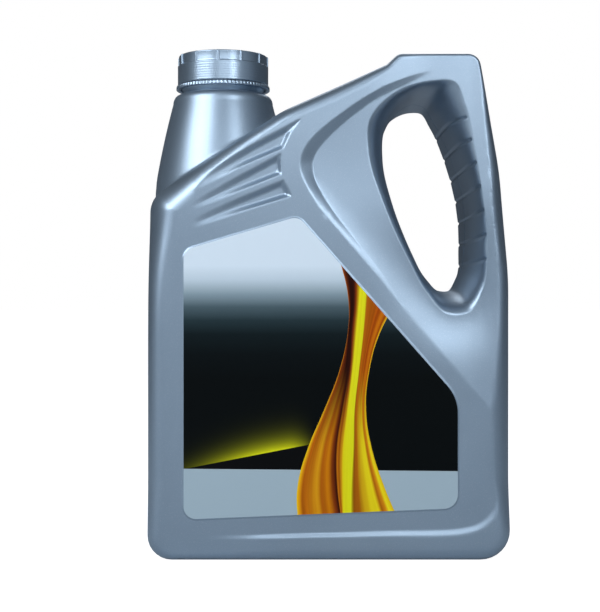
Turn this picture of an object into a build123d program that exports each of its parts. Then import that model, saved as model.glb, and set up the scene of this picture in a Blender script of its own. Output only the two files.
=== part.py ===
from build123d import *
import os

# Engine oil jerrycan, 4 litres: blown bottle with a side grip, screw cap, tamper band,
# sealing wad and two labels. Millimetres, +Z up, front towards -Y.
# The origin is at the middle of the base, on the surface the bottle stands on.

# Blown bottle
body_width = 193.0
body_depth = 110.0
body_height = 269.0
wall = 1.2
edge_radius = 10.0
base_corner_left = 13.0
base_corner_right = 16.0
base_rim_width = 12.0
base_push_up = 2.0

# Top outline: shoulder, crest and grip, as distances from the nearer side and down from the top
shoulder_drop = 76.0
shoulder_radius = 14.0
crest_from_left = 72.5
crest_drop = 29.8
crest_radius = 60.0
step_from_right = 65.5
step_drop = 5.6
step_radius = 4.0
grip_top_length = 44.0
grip_top_from_right = 15.5
grip_top_radius = 7.0
grip_back_drop = 63.0
grip_back_in = 4.0
grip_waist_drop = 119.0
grip_back_radius = 200.0

# Hand hole: narrow at the parting plane, wide at the faces.
# Corners are (from the right side, down from the top) and each has its radius.
hole_middle = [(45.9, 21.7), (71.2, 40.2), (36.8, 127.5), (22.1, 127.5), (22.1, 66.0)]
hole_middle_radii = [5.0, 15.0, 7.0, 7.0, 130.0]
hole_face = [(26.0, 11.5), (88.0, 37.4), (39.0, 150.0), (9.5, 150.0), (13.5, 79.0)]
hole_face_radii = [6.0, 24.0, 12.0, 18.0, 60.0]
finger_ridges = 7
finger_top_drop = 35.0
finger_pitch = 12.7
finger_groove = 0.6
finger_groove_width = 1.2
finger_rise = 2.5

# Flutes on the shoulder, each corner (from the left side, down from the top)
flute_depth = 1.2
flutes = [
    [(28.5, 65.2), (82.5, 34.8), (76.5, 43.0), (72.8, 51.0), (26.5, 73.3)],
    [(24.0, 79.4), (71.2, 53.6), (71.7, 64.7), (24.0, 84.1)],
    [(24.0, 88.4), (72.5, 67.6), (77.0, 76.2), (24.3, 93.6)],
]

# Crescent round the hand hole, its points (from the right side, down from the top)
crescent_depth = 1.2
crescent_tip = (36.5, 8.0)
crescent_foot = (58.5, 133.5)
crescent_outer = [(71.8, 20.4), (104.5, 43.0), (112.5, 59.0), (104.5, 78.8)]
crescent_inner = [(97.5, 77.5), (104.4, 61.0), (98.0, 46.0), (71.8, 24.4)]

# Label panels: left edge and foot from the base's left corner, the rest from the right side and top
panel_depth = 0.6
panel_left = 19.3
panel_foot_left = 21.7
panel_foot_right = 27.7
panel_top_left_drop = 104.4
panel_apex = (112.6, 86.4)
panel_right = 28.1
panel_waist_drop = 182.3
panel_radii = [7.0, 8.0, 22.0, 7.0, 7.0]
label_thickness = 0.12
label_clearance = 0.5

# Neck
neck_from_left = 37.5
cone_top_drop = 15.4
cone_step = 3.5
cone_spread = 14.0
cone_rounding = 3.0
cone_side_setback = 0.6
neck_seat_height = 3.0
neck_seat_step = 0.9
neck_waist_gap = 0.3
finish_gap = 2.1
finish_height = 19.55
finish_wall = 2.0
bead_step = 1.0
bead_height = 1.2
bead_cone_height = 1.1

# Thread, shared by neck and cap
thread_pitch = 4.5
thread_rise = 7.875
thread_depth = 1.4
thread_root_width = 1.9
thread_crest_width = 0.8
thread_lead_in = 0.2
thread_sink = 0.3
thread_radial_gap = 0.7

# Screw cap
cap_radius = 25.65
cap_wall = 1.75
cap_top_thickness = 1.8
cap_ledge_drop = 5.7
cap_rib_count = 12
cap_rib_width = 1.3
cap_rib_height = 0.5
cap_rib_turn = 27.0
cap_rounding = 0.8

# Sealing wad in the cap
wad_thickness = 1.0
wad_side_gap = 0.4
running_gap = 0.05

# Tamper band on the neck
band_overhang = 0.95
band_height = 2.8
band_wall = 1.8
band_lip_gap = 0.4
band_lip_height = 0.9
band_gap = 0.2

half_width = body_width / 2
half_depth = body_depth / 2
neck_x = neck_from_left - half_width
cone_top_z = body_height - cone_top_drop
seat_z = cone_top_z + neck_seat_height
finish_top_z = cone_top_z + finish_height
cap_bottom_z = seat_z + band_height + band_gap
cap_bore = cap_radius - cap_wall
finish_radius = cap_bore - finish_gap
mouth_radius = finish_radius - finish_wall
neck_waist_radius = cap_bore - neck_waist_gap
neck_seat_radius = neck_waist_radius + neck_seat_step
bead_radius = neck_waist_radius + bead_step
cone_top_radius = neck_seat_radius + cone_step
cone_bottom_radius = cone_top_radius + cone_spread
wad_radius = cap_bore - wad_side_gap
band_radius = cap_radius + band_overhang
band_lip_radius = neck_waist_radius + band_lip_gap
wad_bottom_z = finish_top_z + running_gap
cap_top_z = wad_bottom_z + wad_thickness + running_gap + cap_top_thickness
cap_thread_z = cap_bottom_z + thread_lead_in + thread_root_width / 2
thread_z = cap_thread_z + thread_pitch / 2
over = 1.0


def from_right(point):
    """A point of a face, given by its distances from the right side and the top."""
    return (half_width - point[0], 0, body_height - point[1])


def from_left(point):
    """A point of a face, given by its distances from the left side and the top."""
    return (point[0] - half_width, 0, body_height - point[1])


def rounded_face(points, radii):
    """A closed outline in the XZ plane, each corner rounded by its own radius."""
    return make_face(FilletPolyline(*points, radius=radii, close=True))


def body_face():
    """Front outline of the blown body without its neck."""
    grip_left = grip_top_from_right + grip_top_length
    corners = {
        (-half_width, 0, 0): base_corner_left,
        (half_width, 0, 0): base_corner_right,
        from_right((0, grip_waist_drop)): grip_back_radius,
        from_right((grip_back_in, grip_back_drop)): grip_back_radius,
        from_right((grip_top_from_right, 0)): grip_top_radius,
        from_right((grip_left, 0)): step_radius,
        from_right((step_from_right, step_drop)): step_radius,
        from_left((crest_from_left, crest_drop)): crest_radius,
        from_left((0, shoulder_drop)): shoulder_radius,
    }
    return rounded_face(list(corners), list(corners.values()))


def slab(inset):
    """The deep box of the body, moved in by the inset, its face edges rounded."""
    face = body_face()
    if inset > 0:
        face = offset(face, -inset, kind=Kind.INTERSECTION)
    depth = half_depth - inset
    block = extrude(face, depth, dir=(0, 1, 0), both=True)
    edges = block.edges().filter_by(lambda e: abs(abs(e.center().Y) - depth) < 0.01)
    return fillet(edges, edge_radius - inset)


def cone(inset):
    """The round neck cone, standing in the slab's shoulder."""
    bottom_z = body_height - shoulder_drop - edge_radius
    height = cone_top_z - inset - bottom_z
    solid = Cone(cone_bottom_radius - inset, cone_top_radius - inset, height)
    solid = Pos(neck_x, 0, bottom_z + height / 2) * solid
    rim = solid.edges().group_by(Axis.Z)[-1]
    solid = fillet(rim, cone_rounding - inset / 2)
    reach = half_width - cone_side_setback - inset
    return solid & Pos(0, 0, body_height / 2) * Box(2 * reach, body_depth, 2 * body_height)


def hand_hole(grow):
    """The opening behind the grip, tapering from each face to the parting plane."""
    middle = rounded_face([from_right(point) for point in hole_middle], hole_middle_radii)
    outer = rounded_face([from_right(point) for point in hole_face], hole_face_radii)
    if grow > 0:
        middle = offset(middle, grow, kind=Kind.ARC)
        outer = offset(outer, grow, kind=Kind.ARC)
    front = loft([middle.face(), Pos(0, -half_depth - 0.5 * over, 0) * outer.face()], ruled=True)
    return front + mirror(front, Plane.XZ)


def both_faces(outlines, depth, grow):
    """Prisms that cut the given outlines into the front and back faces."""
    cutters = []
    for outline in outlines:
        face = offset(outline, grow, kind=Kind.ARC) if grow > 0 else outline
        prism = extrude(face, depth + grow + over, dir=(0, 1, 0))
        cutters.append(Pos(0, -half_depth - over, 0) * prism)
        cutters.append(mirror(Pos(0, -half_depth - over, 0) * prism, Plane.XZ))
    return cutters


def flute_faces():
    """Three tapering flutes on the shoulder."""
    outlines = [[from_left(point) for point in flute] for flute in flutes]
    return [make_face(Polyline(*outline, close=True)) for outline in outlines]


def crescent_face():
    """The crescent round the hand hole, between two bent lines that meet at their ends."""
    tip = from_right(crescent_tip)
    foot = from_right(crescent_foot)
    outer = [from_right(point) for point in crescent_outer]
    inner = [from_right(point) for point in crescent_inner]
    outer_top = ThreePointArc(tip, outer[0], outer[1])
    outer_turn = ThreePointArc(outer[1], outer[2], outer[3])
    outer_leg = Line(outer[3], foot)
    inner_leg = Line(foot, inner[0])
    inner_turn = ThreePointArc(inner[0], inner[1], inner[2])
    inner_top = ThreePointArc(inner[2], inner[3], tip)
    return make_face([outer_top, outer_turn, outer_leg, inner_leg, inner_turn, inner_top])


def panel_face():
    """Outline of the label panel, its right edge as high as its rounding needs."""
    left = panel_left - half_width
    right = half_width - panel_right
    waist = max(body_height - panel_waist_drop, panel_foot_right + 2 * panel_radii[2])
    points = [
        (left, 0, panel_foot_left),
        (right, 0, panel_foot_right),
        (right, 0, waist),
        from_right(panel_apex),
        (left, 0, body_height - panel_top_left_drop),
    ]
    return rounded_face(points, panel_radii)


def base_recess(grow):
    """The push-up that leaves a standing rim round the base."""
    width = body_width - 2 * (base_rim_width - grow)
    depth = body_depth - 2 * (base_rim_width - grow)
    height = base_push_up + grow
    face = RectangleRounded(width, depth, base_rim_width)
    return Pos(0, 0, -over) * extrude(face, height + over)


def finger_grooves():
    """Shallow grooves across the grip's inner side, rising towards each face."""
    reach = half_depth - edge_radius
    right_of = from_right(hole_middle[0])[0]
    plates = []
    for row in range(finger_ridges):
        z = body_height - finger_top_drop - row * finger_pitch
        plate = Pos(0, -reach / 2, 0) * Box(body_width, reach, finger_groove_width)
        plate = Pos(right_of + half_width, 0, z) * Rot(-finger_rise, 0, 0) * plate
        plates.append(plate)
        plates.append(mirror(plate, Plane.XZ))
    return [hand_hole(finger_groove) & plate for plate in plates]


def neck_finish():
    """Turned profile of the finish: seat, waist, bead and threaded mouth, as a solid stem."""
    bead_top = seat_z + band_lip_height + band_gap + bead_height
    bead_bottom = seat_z + band_lip_height + band_gap
    profile = [
        (0, cone_top_z - wall),
        (neck_seat_radius, cone_top_z - wall),
        (neck_seat_radius, seat_z),
        (neck_waist_radius, seat_z),
        (neck_waist_radius, bead_bottom),
        (bead_radius, bead_bottom),
        (neck_waist_radius, bead_top),
        (finish_radius, bead_top + bead_cone_height),
        (finish_radius, finish_top_z),
        (0, finish_top_z),
    ]
    face = make_face(Polyline(*[(r, 0, z) for r, z in profile], close=True))
    return Pos(neck_x, 0, 0) * revolve(face, Axis.Z)


def mouth_bore():
    """The straight bore down the neck into the body."""
    top = finish_top_z + over
    bottom = cone_top_z - 2 * wall - over
    return Pos(neck_x, 0, (top + bottom) / 2) * Cylinder(mouth_radius, top - bottom)


def helical_ridge(root_radius, crest_radius, start_z):
    """One thread ridge: a trapezoid carried along a helix, its root sunk in the wall."""
    outward = 1 if crest_radius > root_radius else -1
    sunk = root_radius - outward * thread_sink
    path = Helix(thread_pitch, thread_rise, sunk)
    corners = [
        (sunk, 0, -thread_root_width / 2),
        (crest_radius, 0, -thread_crest_width / 2),
        (crest_radius, 0, thread_crest_width / 2),
        (sunk, 0, thread_root_width / 2),
    ]
    profile = make_face(Polyline(*corners, close=True))
    ridge = sweep(profile, path=path, is_frenet=True)
    return Pos(neck_x, 0, start_z) * ridge


def face_relief(grow):
    """Everything cut into the two faces: label panels, flutes and crescents."""
    cutters = both_faces([panel_face()], panel_depth, grow)
    cutters += both_faces(flute_faces(), flute_depth, grow)
    cutters += both_faces([crescent_face()], crescent_depth, grow)
    return cutters


def make_bottle():
    """The blown bottle: outer form less its hollow, with relief, neck and thread."""
    outer = slab(0) + cone(0)
    outer = outer - hand_hole(0)
    outer = outer - face_relief(0)
    outer = outer - finger_grooves()
    outer = outer - base_recess(0)
    hollow = slab(wall) + cone(wall)
    hollow = hollow - hand_hole(wall)
    hollow = hollow - face_relief(wall)
    hollow = hollow - base_recess(wall)
    bottle = outer - hollow
    bottle = bottle + neck_finish()
    bottle = bottle - mouth_bore()
    return bottle + helical_ridge(finish_radius, finish_radius + thread_depth, thread_z)


def crown_pockets(height):
    """The shallow recess round the cap's crown, broken by its ribs."""
    middle = height - cap_ledge_drop / 2
    reach = cap_radius + over
    pockets = Cylinder(reach, cap_ledge_drop) - Cylinder(cap_radius - cap_rib_height, cap_ledge_drop)
    rib = Pos(reach / 2, 0, 0) * Box(reach, cap_rib_width, cap_ledge_drop)
    for index in range(cap_rib_count):
        pockets = pockets - Rot(0, 0, index * 360 / cap_rib_count + cap_rib_turn) * rib
    return Pos(0, 0, middle) * pockets


def make_cap():
    """Screw cap: turned cup with ribs round its crown and a thread inside."""
    height = cap_top_z - cap_bottom_z
    inside = height - cap_top_thickness
    cup = Pos(0, 0, height / 2) * Cylinder(cap_radius, height)
    crown = cup.edges().group_by(Axis.Z)[-1]
    cup = fillet(crown, cap_rounding)
    cup = cup - Pos(0, 0, inside / 2) * Cylinder(cap_bore, inside)
    cup = cup - crown_pockets(height)
    cap = Pos(neck_x, 0, cap_bottom_z) * cup
    crest = finish_radius + thread_radial_gap
    return cap + helical_ridge(cap_bore, crest, cap_thread_z)


def make_wad():
    """The sealing wad, held in the cap above its thread."""
    middle = wad_bottom_z + wad_thickness / 2
    return Pos(neck_x, 0, middle) * Cylinder(wad_radius, wad_thickness)


def make_band():
    """The tamper band: a ring with a lip that hooks under the neck's bead."""
    inner = band_radius - band_wall
    profile = [
        (band_lip_radius, 0),
        (band_radius, 0),
        (band_radius, band_height),
        (inner, band_height),
        (inner, band_lip_height),
        (band_lip_radius, band_lip_height),
    ]
    face = make_face(Polyline(*[(r, 0, seat_z + z) for r, z in profile], close=True))
    return Pos(neck_x, 0, 0) * revolve(face, Axis.Z)


def make_label(side):
    """Printed film on the floor of the label panel, front (-1) or back (+1)."""
    face = offset(panel_face(), -label_clearance, kind=Kind.INTERSECTION)
    floor = half_depth - panel_depth
    film = extrude(face, label_thickness, dir=(0, 1, 0))
    film = Pos(0, -floor - label_thickness, 0) * film
    return film if side < 0 else mirror(film, Plane.XZ)


def main():
    pieces = {
        "bottle": make_bottle(),
        "cap": make_cap(),
        "cap_liner": make_wad(),
        "tamper_band": make_band(),
        "front_label": make_label(-1),
        "back_label": make_label(1),
    }
    os.makedirs("parts", exist_ok=True)
    for name, piece in pieces.items():
        export_step(piece, f"parts/{name}.step")


main()
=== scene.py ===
import math

import bmesh
import bpy
import numpy as np
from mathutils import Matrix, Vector
from mathutils.geometry import delaunay_2d_cdt


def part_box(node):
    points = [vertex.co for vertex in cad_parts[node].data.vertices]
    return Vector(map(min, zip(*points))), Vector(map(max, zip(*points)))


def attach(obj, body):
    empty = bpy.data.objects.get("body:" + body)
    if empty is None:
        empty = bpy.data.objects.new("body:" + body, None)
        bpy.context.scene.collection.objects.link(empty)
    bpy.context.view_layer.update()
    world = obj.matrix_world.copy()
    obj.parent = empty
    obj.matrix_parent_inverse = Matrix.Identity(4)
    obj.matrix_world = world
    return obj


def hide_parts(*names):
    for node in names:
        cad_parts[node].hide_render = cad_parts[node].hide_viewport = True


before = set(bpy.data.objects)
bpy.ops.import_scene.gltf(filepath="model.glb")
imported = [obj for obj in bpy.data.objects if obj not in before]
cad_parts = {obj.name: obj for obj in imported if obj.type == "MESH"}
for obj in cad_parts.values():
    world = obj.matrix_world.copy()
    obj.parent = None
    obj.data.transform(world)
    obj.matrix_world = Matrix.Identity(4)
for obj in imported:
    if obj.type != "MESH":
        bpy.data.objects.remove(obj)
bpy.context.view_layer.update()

mm = 0.001
capLow, capHigh = (np.array(corner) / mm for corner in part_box("cap"))
bandLow, bandHigh = (np.array(corner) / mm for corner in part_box("tamper_band"))
bottleLow, bottleHigh = (np.array(corner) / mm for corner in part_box("bottle"))
neckX = (capLow[0] + capHigh[0]) / 2
halfWidth = (bottleHigh[0] - bottleLow[0]) / 2
halfDepth = (bottleHigh[1] - bottleLow[1]) / 2
print("frame loaded, neck axis at x", round(neckX, 2), "mm")


def smoothStep(low, high, value):
    # cubic ease from 0 at low to 1 at high
    t = np.clip((value - low) / (high - low), 0.0, 1.0)
    return t * t * (3 - 2 * t)


def bevelled(value, soft=0.14):
    # ramp from 0 to 1 with a constant slope, its two ends rounded by short parabolas
    t = np.clip(value, 0.0, 1.0)
    low = np.where(t < soft, t * t / (2 * soft), t - soft / 2)
    high = 1 - soft - np.where(1 - t < soft, (1 - t)**2 / (2 * soft), 1 - t - soft / 2)
    return np.where(t < 0.5, low, high) / (1 - soft)


def roundedLoop(corners, radii, arcCount, lineStep):
    # closed outline: straight runs joined by arcs, each cut from its corner by radius / tan(half angle)
    corners = np.array(corners, float)
    points = []
    tangents = []
    for index, corner in enumerate(corners):
        back = corners[index - 1] - corner
        ahead = corners[(index + 1) % len(corners)] - corner
        back /= np.linalg.norm(back)
        ahead /= np.linalg.norm(ahead)
        half = math.acos(np.clip(back @ ahead, -1, 1)) / 2
        reach = radii[index] / math.tan(half)
        start = corner + back * reach
        end = corner + ahead * reach
        middle = (back + ahead) / np.linalg.norm(back + ahead)
        centre = corner + middle * radii[index] / math.sin(half)
        tangents.append((start, end, centre, math.pi - 2 * half))
    for index, (start, end, centre, turn) in enumerate(tangents):
        share = np.linspace(0, 1, arcCount[index] + 1)
        a, b = start - centre, end - centre
        weights = np.sin((1 - share) * turn), np.sin(share * turn)
        points.append(centre + (weights[0][:, None] * a + weights[1][:, None] * b) / math.sin(turn))
        following = tangents[(index + 1) % len(tangents)][0]
        count = max(1, round(np.linalg.norm(following - end) / lineStep))
        share = np.linspace(0, 1, count + 1)[1:-1, None]
        points.append(end + (following - end) * share)
    return np.vstack(points)


def hermite(a, b, slopeA, slopeB, t, span=1):
    # cubic from a to b that has the given slopes, times the span, at its ends
    return ((2 * t**3 - 3 * t**2 + 1) * a + (t**3 - 2 * t**2 + t) * span * slopeA
            + (3 * t**2 - 2 * t**3) * b + (t**3 - t**2) * span * slopeB)


def bentPath(points, step):
    # smooth open path through a few points: cubics whose end slopes are half the chord of the neighbours
    points = np.array(points, float)
    slopes = np.gradient(points, axis=0)
    path = []
    for index in range(len(points) - 1):
        run = np.linalg.norm(points[index + 1] - points[index])
        t = np.linspace(0, 1, max(2, round(run / step)) + 1)[:-1, None]
        path.append(hermite(points[index], points[index + 1], slopes[index], slopes[index + 1], t))
    return np.vstack(path + [points[-1:]])


def distanceTo(path, points, closed=False):
    # shortest distance from every point to the segments of a path
    starts = path if closed else path[:-1]
    runs = (np.roll(path, -1, axis=0) if closed else path[1:]) - starts
    squares = np.maximum((runs**2).sum(1), 1e-12)
    best = np.full(len(points), 1e9)
    for first in range(0, len(points), 4000):
        block = points[first:first + 4000, None, :] - starts[None]
        share = np.clip((block * runs).sum(2) / squares, 0, 1)
        gaps = block - share[..., None] * runs
        best[first:first + 4000] = np.sqrt((gaps**2).sum(2).min(1))
    return best


def inside(loop, points):
    # even-odd rule: counts how often a ray along +x crosses the loop
    result = np.zeros(len(points), bool)
    ends = np.roll(loop, -1, axis=0)
    for first in range(0, len(points), 4000):
        x = points[first:first + 4000, 0, None]
        z = points[first:first + 4000, 1, None]
        spans = (loop[:, 1] > z) != (ends[:, 1] > z)
        rise = np.where(ends[:, 1] == loop[:, 1], 1e-12, ends[:, 1] - loop[:, 1])
        cross = loop[:, 0] + (z - loop[:, 1]) / rise * (ends[:, 0] - loop[:, 0])
        result[first:first + 4000] = (spans & (x < cross)).sum(1) % 2 == 1
    return result


def signedInside(loop, points):
    # distance to a loop, positive inside it
    return np.where(inside(loop, points), 1, -1) * distanceTo(loop, points, closed=True)


def lengths(rows):
    # length of each row of an array
    return np.linalg.norm(rows, axis=-1)


def loopNormals(loop):
    # unit normals of a closed loop, pointing to the left of its direction of travel
    run = np.roll(loop, -1, axis=0) - np.roll(loop, 1, axis=0)
    run /= lengths(run)[:, None]
    return np.stack([-run[:, 1], run[:, 0]], axis=1)


def shiftedLoop(loop, distance):
    # the loop moved inwards by a distance, for a loop that runs anticlockwise
    return loop + loopNormals(loop) * distance


def beside(path, distances):
    # copies of an open path, moved to its left by each distance
    run = np.gradient(path, axis=0)
    run /= lengths(run)[:, None]
    return [path + np.stack([-run[:, 1], run[:, 0]], 1) * distance for distance in distances]


def gridFaces(rows, columns, closed=False):
    # quads of a grid of points, rows by columns, with the last column joined to the first if closed
    first = np.arange(rows - 1)[:, None] * columns
    here = np.arange(columns if closed else columns - 1)[None]
    ahead = (here + 1) % columns
    quads = np.stack([first + here, first + ahead, first + ahead + columns, first + here + columns], -1)
    return quads.reshape(-1, 4)


def fillFlat(boundaries, points, keep):
    # Delaunay triangles over boundary loops and loose points; keep says which triangle centres belong
    loops = [np.asarray(loop) for loop in boundaries]
    everything = np.vstack(loops + [points])
    edges = []
    start = 0
    for loop in loops:
        ids = np.arange(start, start + len(loop))
        edges += np.stack([ids, np.roll(ids, -1)], 1).tolist()
        start += len(loop)
    result = delaunay_2d_cdt([tuple(p) for p in everything], edges, [], 0, 1e-6)
    flat = np.array([(p.x, p.y) for p in result[0]])
    origin = np.array([source[0] if source else -1 for source in result[3]])
    flat[origin >= 0] = everything[origin[origin >= 0]]  # the given points again, at their full precision
    faces = np.array([face for face in result[2] if len(face) == 3])
    a, b, c = (flat[faces[:, index]] for index in range(3))
    area = np.abs((b[:, 0] - a[:, 0]) * (c[:, 1] - a[:, 1]) - (b[:, 1] - a[:, 1]) * (c[:, 0] - a[:, 0])) / 2
    return flat, faces[keep((a + b + c) / 3) & (area > 1e-4)]  # without slivers


def thinned(points, others, gap):
    # drops the points that lie nearer than gap to any of the others
    keep = np.ones(len(points), bool)
    for first in range(0, len(points), 2000):
        block = points[first:first + 2000, None] - others[None]
        keep[first:first + 2000] = (block**2).sum(2).min(1) > gap**2
    return points[keep]


def hexGrid(low, high, step):
    # evenly spaced points, every other row shifted by half a step
    xs = np.arange(low[0], high[0], step)
    zs = np.arange(low[1], high[1], step * 0.866)
    grid = np.stack(np.meshgrid(xs, zs), -1)
    grid[1::2, :, 0] += step / 2
    return grid.reshape(-1, 2)


def makeMesh(name, patches, weld=0.004):
    # joins patches of (points in mm, faces) into one smooth mesh and welds their shared edges
    points = []
    faces = []
    start = 0
    for patchPoints, patchFaces in patches:
        points.append(np.asarray(patchPoints, float))
        faces += (np.asarray(patchFaces) + start).tolist()
        start += len(patchPoints)
    mesh = bpy.data.meshes.new(name)
    mesh.from_pydata((np.vstack(points) * mm).tolist(), [], faces)
    mesh.update()
    piece = bpy.data.objects.new(name, mesh)
    bpy.context.scene.collection.objects.link(piece)
    work = bmesh.new()
    work.from_mesh(mesh)
    bmesh.ops.remove_doubles(work, verts=work.verts, dist=weld * mm)
    bmesh.ops.dissolve_degenerate(work, edges=work.edges, dist=0.001 * mm)
    bmesh.ops.recalc_face_normals(work, faces=work.faces)
    work.to_mesh(mesh)
    work.free()
    mesh.shade_smooth()
    return piece


# sizes in mm; the facet's tilt and the slopes are shares of the run
bottle = {
    "edgeRadius": 10.0,
    "baseEdgeRadius": 7.0,
    "gripEdgeRadius": 7.5,
    "bodyTop": bottleHigh[2] - 4.15,
    "shoulderEdgeRadius": 21.0,
    "rightEdgeRadius": 14.0,
    "facetTilt": 0.035,
    "facetSteepening": 2.2,
    "facetDepth": 5.0,
    "pocketDepth": 3.0,
    "skirtStep": 1.1,
    "skirtStepWidth": 2.2,
    "panelDepth": 0.6,
    "fluteDepth": 2.2,
    "fluteWall": 2.6,
    "coneTop": bandLow[2] - 3.0,
    "coneTopRadius": 26.9,
    "coneSlope": 0.275,
    "coneBend": 0.0011,
    "coneRounding": 5.0,
    "coneRoundingWidth": 3.3,
    "seatRadius": 24.5,
    "waistRadius": 20.9,
    "finishRadius": 21.8,
    "mouthRadius": 19.8,
    "beadRise": 1.8,
    "threadPitch": 4.5,
    "threadDepth": 1.4,
    "threadRise": 9.4,
    "threadHalf": 0.95,
    "threadFlank": 0.55,
    "threadIn": (-0.02, 0.06),  # turns over which the thread starts and ends
    "threadOut": (1.69, 1.77),
    # radius and depth below the cone's top, from the mouth's bore to the middle of the disc that closes it
    "innerProfile": [(19.8, 1.2), (20.6, 2.0), (24.5, 2.4), (26.5, 5.0), (28.4, 17.0), (31.0, 32.0),
                     (20.0, 33.0), (10.0, 33.0), (0.001, 33.0)],
    "partingLine": 0.22,
    "partingHalf": 0.6,
    "wallDepth": 45.0,
    "wallRows": 16,
    "fingerCount": 7,
    "fingerTop": 36.3,
    "fingerPitch": 12.9,
    "fingerGroove": 1.1,
    "fingerWidth": 1.3,
    "fingerSwell": 0.12,
    "fingerRise": 2.8,
    "throatSlope": 0.8,
    "throatPower": 3.2,
    "throatLowPower": 2.0,
    "dimpleDepth": 2.0,
    "dimpleReach": 11.0,
    "pushUp": 2.0,
    "pushUpRun": 4.0,
    "standingRim": 13.0,
    "columns": 49,
}
top = bottle["bodyTop"]
right = halfWidth
# front outline, anticlockwise from the base's left corner: radius and points of each corner's arc
outlineCorners = {
    (-right, 0): (13, 7), (right, 0): (16, 8), (right, top - 119): (200, 10), (right - 5, top - 63): (200, 12),
    (right - 16.7, top): (7, 7), (right - 59.5, top): (5, 5), (right - 65.5, top - 5.6): (5, 4),
    (-right + 72.5, top - 29.8): (60, 4), (-right, top - 76): (14, 8),
}
# matched points round the hand hole at the parting plane and at the face: mm from the right side and the top
holeMiddle = [(47.5, 19.8), (56.6, 24.2), (64.6, 36.5), (65.9, 54.0), (60.9, 78.5), (50.6, 104.5),
              (42.0, 118.5), (34.5, 125.4), (27.5, 125.8), (21.6, 117.5), (18.4, 97.5), (19.6, 72.8),
              (26.6, 49.4), (36.8, 28.5), (42.0, 21.2)]
holeFace = [(42.8, 14.8), (60.9, 20.4), (75.5, 36.1), (75.7, 54.1), (68.3, 78.5), (54.5, 109.8),
            (44.0, 128.0), (33.0, 139.0), (22.0, 138.0), (14.5, 126.0), (12.3, 102.9), (14.5, 78.0),
            (18.7, 51.4), (23.5, 28.6), (29.6, 15.4)]
holeRuns = [26, 26, 26, 34, 40, 26, 22, 18, 18, 40, 56, 52, 44, 26, 24]


def fromRight(points):
    return [(right - x, top - z) for x, z in points]


def closedCurve(points, counts):
    # smooth closed curve: cubics whose tangents are chord-weighted means of the neighbouring slopes
    points = np.array(points, float)
    runs = np.roll(points, -1, axis=0) - points
    spans = lengths(runs)[:, None]
    slopes = runs / spans
    before, beforeSpans = np.roll(slopes, 1, axis=0), np.roll(spans, 1, axis=0)
    tangents = (before * spans + slopes * beforeSpans) / (spans + beforeSpans)
    path = []
    for index, count in enumerate(counts):
        after = (index + 1) % len(points)
        t = np.linspace(0, 1, count + 1)[:-1, None]
        path.append(hermite(points[index], points[after], tangents[index], tangents[after], t, spans[index]))
    return np.vstack(path)


outline = roundedLoop(list(outlineCorners), *zip(*outlineCorners.values()), 2.4)
throat = closedCurve(fromRight(holeMiddle), holeRuns)
lip = closedCurve(fromRight(holeFace), holeRuns)

crescentOuter = bentPath(fromRight([(36.5, 8.0), (54.1, 12.5), (71.8, 20.4), (89.1, 31.5), (103.5, 43.0),
                                    (110.5, 52.0), (112.5, 60.0), (110.2, 68.3), (103.4, 80.5), (97.0, 88.4),
                                    (58.5, 133.5)]), 1.5)
crescentInner = bentPath(fromRight([(36.5, 8.0), (54.1, 16.2), (71.8, 24.6), (89.1, 37.8), (99.0, 47.5),
                                    (103.6, 54.5), (104.4, 60.5), (102.4, 69.5), (93.4, 84.7), (80.2, 101.5),
                                    (67.0, 118.9), (58.5, 133.5)]), 1.5)
creaseEnd = np.array([right - 9.1, top - 191.6])
creaseFoot = crescentOuter[-1]
panelLoop = roundedLoop([(-right + 19.3, 21.7), (right - 28.1, 27.7), (right - 28.1, top - 182.3),
                         (right - 112.6, top - 86.4), (-right + 19.3, top - 104.4)],
                        [7.0, 8.0, 22.0, 7.0, 7.0], [7, 7, 9, 7, 7], 2.5)
flutes = [
    [(26.5, 73.0), (28.5, 65.2), (55.0, 49.5), (82.5, 34.8), (76.5, 43.0), (72.8, 51.0), (52.0, 60.0)],
    [(24.0, 84.1), (24.0, 79.4), (48.0, 66.0), (71.2, 53.6), (71.7, 64.7), (48.0, 74.2)],
    [(24.3, 93.6), (24.0, 88.4), (48.0, 77.6), (72.5, 67.6), (77.0, 76.2), (50.0, 84.6)],
]
fluteLoops = [np.array([(x - right, top - z) for x, z in flute]) for flute in flutes]
skirtCurve = bentPath([(-right + 12.0, 30.0), (-right + 24.0, 14.6), (-right + 37.0, 13.8), (0.5, 15.2),
                       (right - 67.5, 16.3), (right - 27.0, 17.8), (right - 12.5, 24.5), (right - 8.0, 37.0),
                       (right - 7.5, 70.0)], 2.0)


def skirtLevel(points):
    # the face lies lower than the skirt round the base: a step that widens to the right and fades upwards
    x, z = points[:, 0], points[:, 1]
    above = inside(np.vstack([skirtCurve, [(right - 7.5, top + 50), (-right + 12.0, top + 50)]]), points)
    near = distanceTo(skirtCurve, points) * np.where(above, 1, -1)
    width = bottle["skirtStepWidth"] * (1 + 0.9 * smoothStep(-20, right - 20, x))
    step = bevelled((near + width) / width)
    step = 1 - (1 - step) * smoothStep(-right + 24, -right + 85, x)
    sides = smoothStep(-right + 2, -right + 15, x)
    rightward = 1 - smoothStep(right - 22, right - 6, x) * smoothStep(30, 75, z)
    return bottle["skirtStep"] * step * sides * rightward


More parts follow.
